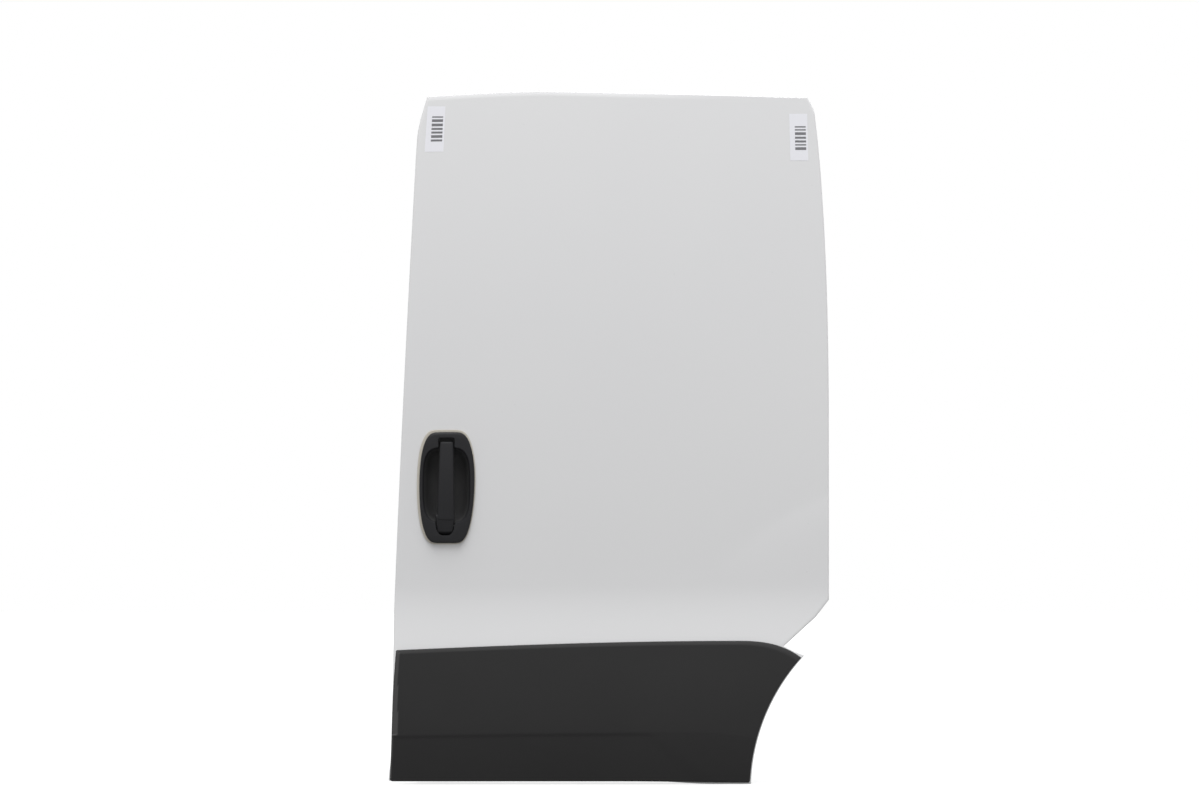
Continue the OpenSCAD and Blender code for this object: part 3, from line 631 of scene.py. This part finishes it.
def moulding_y(u, v):
    """Depth of the face: full over the crease, tucked under it, and beveled at its front and top."""
    x, z = moulding_at(u, v)
    top_x, top = moulding_at(u, 1)
    top_y = skin_y(top_x, top) - MOULDING_PROUD
    if v > CREASE_SHARE:
        face = mix(-MOULDING_OUT, top_y, ((v - CREASE_SHARE) / (1 - CREASE_SHARE)) ** 1.4)
    else:
        face = -MOULDING_OUT + MOULDING_TUCK * (CREASE_SHARE - v) / CREASE_SHARE
    past_end = x - CREASE_END - CREASE_END_SLOPE * max(0, CREASE_Z - z)
    face += CREASE_STEP * ease((CREASE_SHARE - v) / 0.03) * (1 - ease(past_end / CREASE_END_FADE))
    from_front = (x - moulding_left(u, v)) / bevel_width(v)
    face += (BEVEL_DEPTH if v > CREASE_SHARE else BEVEL_DEPTH_BELOW) * max(0, 1 - from_front)
    return face + TOP_BAND_DEPTH * max(0, 1 - (top - z) / TOP_BAND) ** 1.3


# Shares of the height and length at which its mesh has points, and roughly how far those run
UP_THE_MOULDING = [0, 0.003, 0.008, 0.013, 0.025, *steps(0.04, CREASE_SHARE - 0.04, 14),
                   *steps(CREASE_SHARE - 0.04, CREASE_SHARE, 8), CREASE_SHARE, CREASE_SHARE + 0.01,
                   *steps(CREASE_SHARE + 0.02, 0.965, 24), *steps(0.965, 1, 8), 1]
ALONG_THE_MOULDING = [0, 0.001, 0.003, 0.005, 0.008, 0.0115, 0.0145, 0.018, *steps(0.025, 0.98, 70),
                      0.98, 0.99, 0.995, 0.998, 1]
MOULDING_LENGTH = 640
MOULDING_REACH = 230


def make_moulding():
    front, back, painted_highlight = [], [], []
    for v in UP_THE_MOULDING:
        for u in ALONG_THE_MOULDING:
            x, z = moulding_at(u, v)
            y = moulding_y(u, v)
            edge = min(min(u, 1 - u) * MOULDING_LENGTH, min(v, 1 - v) * MOULDING_REACH)
            back_y = skin_y(x, z) - SEAT if edge < MOULDING_THICK else y + MOULDING_THICK
            front.append(place(x, y + rolled(edge, MOULDING_ROLL, MOULDING_ROLL), z))
            back.append(place(x, back_y, z))
            # Points on the front bevel get the painted highlight
            on_bevel = 1 < x - moulding_left(u, v) < bevel_width(v) and edge > 1
            painted_highlight.append(1.0 if on_bevel else 0.0)
    faces = sheet_faces(len(UP_THE_MOULDING), len(ALONG_THE_MOULDING))
    moulding = loose_piece("moulding", front + back, faces, moulding_grey)
    finish_piece(moulding, replaces=["lower_moulding"])
    highlight_layer = moulding.data.attributes.new("painted_highlight_mask", "FLOAT", "POINT")
    highlight_layer.data.foreach_set("value", painted_highlight + [0.0] * len(back))


make_moulding()

clip_nylon, tree, shader = new_material("clip_nylon", (0.68, 0.67, 0.62), 0.45)
mottle(tree, shader, "Roughness", 90, 3.0, [(0.3, 0.4), (0.7, 0.55)])
dress(["moulding_clips"], clip_nylon, 0.0006)

# Handle
# Black plastic: a surround with a deep finger bowl, and an upright grip that
# turns on a steel pin in the pocket at its foot. A foam ring seals it to the skin.

GASKET = 1.8
GASKET_ASIDE = -1.3
GASKET_UP = 1
SURROUND_BACK = -SEAT - GASKET
SURROUND_FACE = -8.5
BOWL_WIDTH = 81
BOWL_HEIGHT = 131
BOWL_LEFT = -1.2
BOWL_UP = 4
BOWL_DEPTH = 30
BOWL_SQUARENESS = 3.6
SHELL = 2.4
PIVOT_Y = 8
PIVOT_Z = -SURROUND_HEIGHT / 2 + 28.5
POCKET_WIDTH = 40
POCKET_DEPTH = 18
POCKET_TOP = PIVOT_Z + 36
POCKET_FOOT = PIVOT_Z - 15
POCKET_TAPER = 0.3
POCKET_HEIGHT = POCKET_TOP - POCKET_FOOT
POCKET_CORNER = 14
NOTCH_WIDTH = 27.5
NOTCH_HEIGHT_IN_BOWL = 40
NOTCH_CORNER = 4
NOTCH_DEPTH = 5
NOTCH_TOP = BOWL_UP + BOWL_HEIGHT / 2 + 16.5
GRIP_WIDTH_AT_FOOT = 30
GRIP_WIDTH_AT_TOP = 23.6
GRIP_X_AT_FOOT = -1.1
GRIP_X_AT_TOP = 0.4
GRIP_LENGTH = 136
GRIP_THICK = 11
GRIP_TOP = NOTCH_TOP - 6.5
GRIP_FOOT = GRIP_TOP - GRIP_LENGTH
GRIP_BACK = 8
GRIP_BOW = 6
GRIP_END = 3
GRIP_END_NARROWING = 8
GRIP_END_THICKNESS = 0.45
GRIP_POINTS = 40
HEEL_RADIUS = 9
TOE_RADIUS = 13.4
TOE_SWELL = 1.8
FOOT_EDGE = 0.8
FOOT_GAP = 1.4
POCKET_X = BOWL_LEFT - 2.2

# How far each outline is drawn in or grown, and how deep that lies, from back to face
BEZEL_PROFILE = [(0, SURROUND_BACK), (0, -4.6), (0.25, -5.5), (0.8, -6.4), (1.7, -7.2), (3, -7.9),
                 (4.8, SURROUND_FACE)]
BOWL_BACK_PROFILE = [(-38, BOWL_DEPTH + SHELL), (-18, BOWL_DEPTH - 2), (-4, 14), (0.8, 0),
                     (0.8, SURROUND_BACK - 1)]
BOWL_PROFILE = [(-44, BOWL_DEPTH), (-34, BOWL_DEPTH - 1), (-24, BOWL_DEPTH - 4), (-17, 22), (-12, 16),
                (-9, 10), (-6.5, 5), (-4, 0), (-3, SURROUND_FACE - 1)]
BOWL_RIM = [(-3.7, -1), (-2, -4), (-0.6, -6.4), (1, -7.9), (3, SURROUND_FACE - 0.5)]
POCKET_BACK_PROFILE = [(SHELL, POCKET_DEPTH + SHELL), (SHELL, SURROUND_BACK - 1)]
POCKET_PROFILE = [(0, POCKET_DEPTH), (0, SURROUND_FACE - 1)]
POCKET_RIM = [(-0.3, -6.5), (0.25, -7.6), (1, -9)]
NOTCH_BACK_PROFILE = [(SHELL, NOTCH_DEPTH + SHELL), (SHELL, SURROUND_BACK - 1)]
NOTCH_PROFILE = [(0, NOTCH_DEPTH), (0, SURROUND_FACE - 1)]
NOTCH_RIM = [(-0.1, -6), (0, -7.2), (0.4, -8), (1.4, -9)]
GASKET_PROFILE = [(-3, -0.25), (-3, -1.4), (-2.5, -0.25 - GASKET)]
GASKET_HOLE = [(3.5, 5), (3.5, -8)]

handle_black, tree, shader = new_material("handle_plastic", (0.0165, 0.0165, 0.018), 0.5, specular=0.15)
add_grain(tree, shader, 1500, 2.0, 0.6, 0.25, 0.0003)
mottle(tree, shader, "Roughness", 25, 3.0, [(0.35, 0.45), (0.7, 0.6)])

# Painted light: the same black plastic as the surround, written paler in the bowl, pocket and notch to
# lift the shade that falls in them
bowl_black_painted_light, tree, shader = new_material("bowl_plastic_painted_light", (0.043, 0.043, 0.0435), 0.62, specular=0.2)
add_grain(tree, shader, 1100, 2.0, 0.6, 0.3, 0.0004)

gasket_foam, tree, shader = new_material("gasket_foam", (0.52, 0.49, 0.43), 0.9, specular=0.1)
add_grain(tree, shader, 1800, 2.0, 0.5, 0.5, 0.0004)


def slot_outline(left, bottom, width, height, radius, y, grow=0.0, taper=0.0):
    """A rounded rectangle at depth y, from the middle of the handle, which may taper to its foot."""
    points, arc = [], 8
    corners = [(1, -1, 270), (1, 1, 0), (-1, 1, 90), (-1, -1, 180)]
    middle_x, middle_z = left + width / 2, bottom + height / 2
    reach_x, reach_z = width / 2 - radius, height / 2 - radius
    for side_x, side_z, start in corners:
        for i in range(arc + 1):
            angle = math.radians(start + 90 * i / arc)
            aside = side_x * reach_x + (radius + grow) * math.cos(angle)
            z = middle_z + side_z * reach_z + (radius + grow) * math.sin(angle)
            narrow = 1 - taper * (bottom + height - z) / height
            points.append(on_handle(middle_x + aside * narrow, y, z))
    return points


def bowl_ring(grow, y, lower=0.0):
    """Outline of the bowl at depth y, which falls away more steeply at its foot than at its top."""
    height = BOWL_HEIGHT + 0.9 * grow + lower
    middle = BOWL_UP + 0.05 * grow - lower / 2
    return rounded_ring(BOWL_WIDTH + grow, height, y, BOWL_SQUARENESS, BOWL_LEFT, middle)


def pocket_ring(grow, y):
    left = POCKET_X - POCKET_WIDTH / 2
    return slot_outline(left, POCKET_FOOT, POCKET_WIDTH, POCKET_HEIGHT, POCKET_CORNER, y, grow,
                        POCKET_TAPER)


def notch_ring(grow, y):
    left, bottom = BOWL_LEFT - NOTCH_WIDTH / 2, NOTCH_TOP - NOTCH_HEIGHT_IN_BOWL
    return slot_outline(left, bottom, NOTCH_WIDTH, NOTCH_HEIGHT_IN_BOWL, NOTCH_CORNER, y, grow)


def profiled(name, ring, profile, material, *more):
    """A loose solid through one kind of outline, drawn at every step of its profile."""
    return loose_piece(name, *loft([ring(grow, y, *more) for grow, y in profile]), material)


def make_surround():
    bezel = profiled("handle_bezel", handle_ring, BEZEL_PROFILE, handle_black)
    carve(bezel, [profiled("bowl_shell", bowl_ring, BOWL_BACK_PROFILE, handle_black, SHELL),
                  profiled("pocket_shell", pocket_ring, POCKET_BACK_PROFILE, handle_black),
                  profiled("notch_shell", notch_ring, NOTCH_BACK_PROFILE, handle_black)], "UNION")
    carve(bezel, [profiled("bowl_rim", bowl_ring, BOWL_RIM, handle_black),
                  profiled("pocket_rim", pocket_ring, POCKET_RIM, handle_black),
                  profiled("notch_rim", notch_ring, NOTCH_RIM, handle_black),
                  # The bowl, pocket and notch are cut with the paler plastic of painted light
                  profiled("bowl", bowl_ring, BOWL_PROFILE, bowl_black_painted_light),
                  profiled("pocket", pocket_ring, POCKET_PROFILE, bowl_black_painted_light),
                  profiled("notch", notch_ring, NOTCH_PROFILE, bowl_black_painted_light)])
    finish_piece(bezel, replaces=["handle_surround"])


def make_gasket():
    """The foam ring, set a little forward and up, so that it shows there as a thin line."""
    ring = profiled("gasket_ring", handle_ring, GASKET_PROFILE, gasket_foam, GASKET_ASIDE, GASKET_UP)
    carve(ring, [profiled("gasket_hole", handle_ring, GASKET_HOLE, None)])
    finish_piece(ring, replaces=["handle_gasket"])


def grip_section(z):
    """One level section of the bar, a rounded bow that narrows to its top and closes at its ends."""
    share = (z - GRIP_FOOT) / GRIP_LENGTH
    near_end = min(z - GRIP_FOOT, GRIP_TOP - z)
    shrink = 1 if near_end > GRIP_END else math.sqrt(max(0.0, 1 - (1 - near_end / GRIP_END) ** 2))
    width = mix(GRIP_WIDTH_AT_FOOT, GRIP_WIDTH_AT_TOP, share) - GRIP_END_NARROWING * (1 - shrink)
    depth = GRIP_THICK * mix(GRIP_END_THICKNESS, 1, shrink)
    middle = -GRIP_BACK - GRIP_BOW * math.sin(math.pi * share) + GRIP_THICK / 2
    ring = []
    for k in range(GRIP_POINTS):
        angle = 2 * math.pi * k / GRIP_POINTS
        c, s = math.cos(angle), math.sin(angle)
        x = mix(GRIP_X_AT_FOOT, GRIP_X_AT_TOP, share) + width / 2 * math.copysign(abs(c) ** (2 / 5), c)
        y = depth / 2 * math.copysign(abs(s) ** (2 / 3.5), s)
        ring.append(on_handle(BOWL_LEFT + x, middle + y, z))
    return ring


def grip_foot_outline():
    """The foot seen from its side: round its pin from heel to toe, then round the bar's own foot."""
    outline = []
    for k in range(29):
        degrees = -60 + 210 * k / 28
        to_toe = (degrees - 60) / 30
        radius = mix(HEEL_RADIUS, TOE_RADIUS, ease(to_toe)) + TOE_SWELL * ease(to_toe - 1)
        angle = math.radians(degrees)
        outline.append((PIVOT_Y + radius * math.cos(angle), PIVOT_Z - radius * math.sin(angle)))
    for k in range(13):
        angle = math.radians(150 + 180 * k / 12)
        outline.append((-2.5 + 5 * math.cos(angle), GRIP_FOOT + 6 - 5 * math.sin(angle)))
    return outline


def grip_foot_ring(side, inset, size):
    """The foot's outline at one side, as wide as the tapered pocket leaves it."""
    ring = []
    for y, z in grip_foot_outline():
        y_in, z_in = mix(PIVOT_Y, y, size), mix(PIVOT_Z, z, size)
        taper = 1 - POCKET_TAPER * (POCKET_TOP - z_in) / POCKET_HEIGHT
        x = side * (POCKET_WIDTH / 2 * taper - FOOT_GAP - inset)
        ring.append(on_handle(POCKET_X + x, y_in, z_in))
    return ring


def make_grip():
    rounding = [GRIP_END * (1 - math.cos(math.pi / 2 * i / 6)) for i in range(7)]
    heights = [GRIP_FOOT + rise for rise in rounding]
    heights += steps(GRIP_FOOT + GRIP_END + 3, GRIP_TOP - GRIP_END - 2, 26)
    heights += [GRIP_TOP - rise for rise in reversed(rounding)]
    vertices, faces = loft([grip_section(z) for z in heights])
    foot, foot_faces = loft([grip_foot_ring(-1, 0, 0.9), grip_foot_ring(-1, FOOT_EDGE, 1.0),
                             grip_foot_ring(1, FOOT_EDGE, 1.0), grip_foot_ring(1, 0, 0.9)])
    faces += [tuple(i + len(vertices) for i in face) for face in foot_faces]
    grip = loose_piece("grip_bar", vertices + foot, faces, handle_black)
    work = bmesh.new()
    work.from_mesh(grip.data)
    bmesh.ops.recalc_face_normals(work, faces=work.faces)
    work.to_mesh(grip.data)
    work.free()
    finish_piece(grip, replaces=["handle_grip"], body=GRIP)


make_gasket()
make_surround()
make_grip()

zinc, tree, shader = new_material("zinc_plate", (0.62, 0.61, 0.55), 0.35, metallic=1.0)
mottle(tree, shader, "Base Color", 120, 4.0, [(0.3, (0.50, 0.50, 0.47)), (0.7, (0.68, 0.66, 0.58))])
dress(["handle_pivot", "handle_backplate"], zinc)
dress(["handle_pin"], coat_black)

# Latches
# Zinc-plated latch bodies at both edges, worked by two rods from a relay
# behind the handle.

dress(["front_lock", "rear_latch", "lock_relay", "front_lock_rod", "rear_lock_rod"], zinc, 0.0008)

# Running gear
# Black-coated steel arms bolted to the frame, with nylon rollers that run in
# the rails over, behind and under the door opening.

arm_black, tree, shader = new_material("arm_black", (0.018, 0.018, 0.019), 0.4)
mottle(tree, shader, "Roughness", 45, 4.0, [(0.35, 0.32), (0.7, 0.55)])
dress(["upper_arm", "middle_arm", "middle_carriage", "lower_arm"], arm_black, 0.0008)
dress(["upper_roller", "middle_rollers", "lower_rollers"], clip_nylon, 0.0006)

# Seal and bumpers
# Black rubber: a hollow strip pressed round the frame's flange, and two
# stops that rest against the body.

seal_rubber, tree, shader = new_material("seal_rubber", (0.014, 0.014, 0.014), 0.7, specular=0.3)
mottle(tree, shader, "Roughness", 30, 4.0, [(0.3, 0.6), (0.7, 0.82)])
dress(["weatherstrip", "door_bumpers"], seal_rubber, 0.0005)

# Paper labels
# Two small white stock labels stuck on the skin near its top corners, with
# a generic block of bars in ink and nothing to read.

paper, tree, shader = new_material("label_paper", (0.73, 0.73, 0.765), 0.8, specular=0.2)
add_grain(tree, shader, 2500, 2.0, 0.5, 0.2, 0.0001)
ink, tree, shader = new_material("label_ink", (0.15, 0.15, 0.16), 0.7)
add_grain(tree, shader, 1500, 2.0, 0.5, 0.1, 0.0001)

PAPER_LIFT = 0.2
INK_LIFT = 0.28
LABEL_THICK = 0.12
BARS_LEFT, BARS_RIGHT = 0.29, 0.90
BARS_FOOT, BARS_TOP = 0.225, 0.76
BAR_HEIGHTS = (0.03, 0.045, 0.06)
BAR_GAP = 0.035

# The photo's scale, where it shows the door's front edge and foot, and the labels' four corners
PIXEL_SIZE = 1.729
FRONT_PIXEL, FOOT_PIXEL = 388.8, 783.5
FRONT_LABEL_PIXELS = [(426.9, 105.1), (444.8, 105.1), (442.9, 150.7), (424.1, 151.0)]
REAR_LABEL_PIXELS = [(790, 112.6), (808, 112.6), (809, 159.7), (791, 159.7)]


def label_patch(corners, low, high, lift):
    """A patch of a label, from share low to share high of its sides, lifted off the skin."""
    left_top, right_top, right_foot, left_foot = corners
    columns, rows, points = 5, 9, []
    for i in range(rows):
        v = mix(low[1], high[1], i / (rows - 1))
        for j in range(columns):
            u = mix(low[0], high[0], j / (columns - 1))
            x = mix(mix(left_foot[0], right_foot[0], u), mix(left_top[0], right_top[0], u), v)
            z = mix(mix(left_foot[1], right_foot[1], u), mix(left_top[1], right_top[1], u), v)
            points.append((x, z))
    front = [place(x, skin_y(x, z) - lift, z) for x, z in points]
    back = [place(x, skin_y(x, z) - lift + LABEL_THICK, z) for x, z in points]
    return front + back, sheet_faces(rows, columns)


def make_label(name, pixels):
    """A label of paper with its bars, between four corners given in pixels of the photo."""
    corners = [((px - FRONT_PIXEL) * PIXEL_SIZE, (FOOT_PIXEL - py) * PIXEL_SIZE) for px, py in pixels]
    label = loose_piece(name, *label_patch(corners, (0, 0), (1, 1), PAPER_LIFT), paper)
    finish_piece(label)
    random.seed(len(name))
    vertices, faces = [], []
    height = BARS_FOOT
    while height < BARS_TOP:
        thick = random.choice(BAR_HEIGHTS)
        low, high = (BARS_LEFT, height), (BARS_RIGHT, height + thick)
        patch, patch_faces = label_patch(corners, low, high, INK_LIFT)
        faces += [tuple(i + len(vertices) for i in face) for face in patch_faces]
        vertices += patch
        height += thick + BAR_GAP
    finish_piece(loose_piece(name + "_bars", vertices, faces, ink))


make_label("front_label", FRONT_LABEL_PIXELS)
make_label("rear_label", REAR_LABEL_PIXELS)

# Studio
# A pale floor under the door's foot, an even white world and two soft lamps,
# and a long lens square to the door, a little above its middle.

FLOOR_GLOW = 0.72
FLOOR_REACH = 12.0
FLOOR_MIDDLE = 380
FLOOR_DROP = 1
WORLD_LIGHT = 0.50
CAMERA_DISTANCE = 15
SENSOR_WIDTH = 36
IMAGE_WIDTH, IMAGE_HEIGHT = 1199, 799


def seen_directly(tree):
    """1 for rays from the camera, off gloss and through glass, and 0 for light that falls on things."""
    path = add_node(tree, "ShaderNodeLightPath")
    seen = path.outputs["Is Camera Ray"]
    for name in ("Is Glossy Ray", "Is Transmission Ray"):
        either = add_node(tree, "ShaderNodeMath", operation="MAXIMUM")
        tree.links.new(seen, either.inputs[0])
        tree.links.new(path.outputs[name], either.inputs[1])
        seen = either.outputs["Value"]
    return seen


floor_pale, tree, shader = new_material("floor_pale", (0.30, 0.30, 0.30), 0.8, specular=0.1)
glow = add_node(tree, "ShaderNodeEmission", color=(1, 1, 1, 1))
brighter = add_node(tree, "ShaderNodeMath", operation="MULTIPLY")
brighter.inputs[1].default_value = FLOOR_GLOW
tree.links.new(seen_directly(tree), brighter.inputs[0])
tree.links.new(brighter.outputs["Value"], glow.inputs["Strength"])
both = add_node(tree, "ShaderNodeAddShader")
tree.links.new(shader.outputs["BSDF"], both.inputs[0])
tree.links.new(glow.outputs["Emission"], both.inputs[1])
tree.links.new(both.outputs["Shader"], tree.nodes["Material Output"].inputs["Surface"])
floor_corners = [place(FLOOR_MIDDLE, 0, -FLOOR_DROP) + Vector((x * FLOOR_REACH, y * FLOOR_REACH, 0))
                 for x, y in ((-1, -1), (1, -1), (1, 1), (-1, 1))]
loose_piece("floor", floor_corners, [(0, 1, 2, 3)], floor_pale)

world = bpy.data.worlds.new("studio")
world.use_nodes = True
bpy.context.scene.world = world
tree = world.node_tree
background = tree.nodes["Background"]
background.inputs["Color"].default_value = (0.985, 0.99, 1.0, 1)
background.inputs["Strength"].default_value = WORLD_LIGHT
white = add_node(tree, "ShaderNodeBackground", color=(1, 1, 1, 1), strength=1.0)
blend = add_node(tree, "ShaderNodeMixShader")
tree.links.new(seen_directly(tree), blend.inputs["Fac"])
tree.links.new(background.outputs["Background"], blend.inputs[1])
tree.links.new(white.outputs["Background"], blend.inputs[2])
tree.links.new(blend.outputs["Shader"], tree.nodes["World Output"].inputs["Surface"])


def add_sky_light(name, azimuth, elevation, spread, strength):
    """A soft lamp too far off to fall away over the door: azimuth 0 is square to its outside."""
    lamp = bpy.data.objects.new(name, bpy.data.lights.new(name, "SUN"))
    lamp.data.angle = math.radians(spread)
    lamp.data.energy = strength
    turn, rise = math.radians(azimuth), math.radians(elevation)
    level = math.cos(rise)
    towards = Vector((math.sin(turn) * level, -math.cos(turn) * level, math.sin(rise)))
    lamp.rotation_euler = towards.to_track_quat("Z", "Y").to_euler()
    bpy.context.scene.collection.objects.link(lamp)


add_sky_light("front_softbox", -4, 68, 50, 3.3)
add_sky_light("rear_softbox", 150, 35, 60, 0.6)

lens = bpy.data.cameras.new("photo_camera")
lens.sensor_width = SENSOR_WIDTH
lens.lens = SENSOR_WIDTH * CAMERA_DISTANCE / (IMAGE_WIDTH * PIXEL_SIZE / 1000)
camera = bpy.data.objects.new("photo_camera", lens)
bpy.context.scene.collection.objects.link(camera)
centre = place((IMAGE_WIDTH / 2 - FRONT_PIXEL) * PIXEL_SIZE, 0,
               (FOOT_PIXEL - IMAGE_HEIGHT / 2) * PIXEL_SIZE)
camera.location = centre + Vector((0, -CAMERA_DISTANCE, 0))
camera.rotation_euler = (math.pi / 2, 0, 0)
bpy.context.scene.camera = camera
bpy.context.scene.view_settings.view_transform = "Standard"
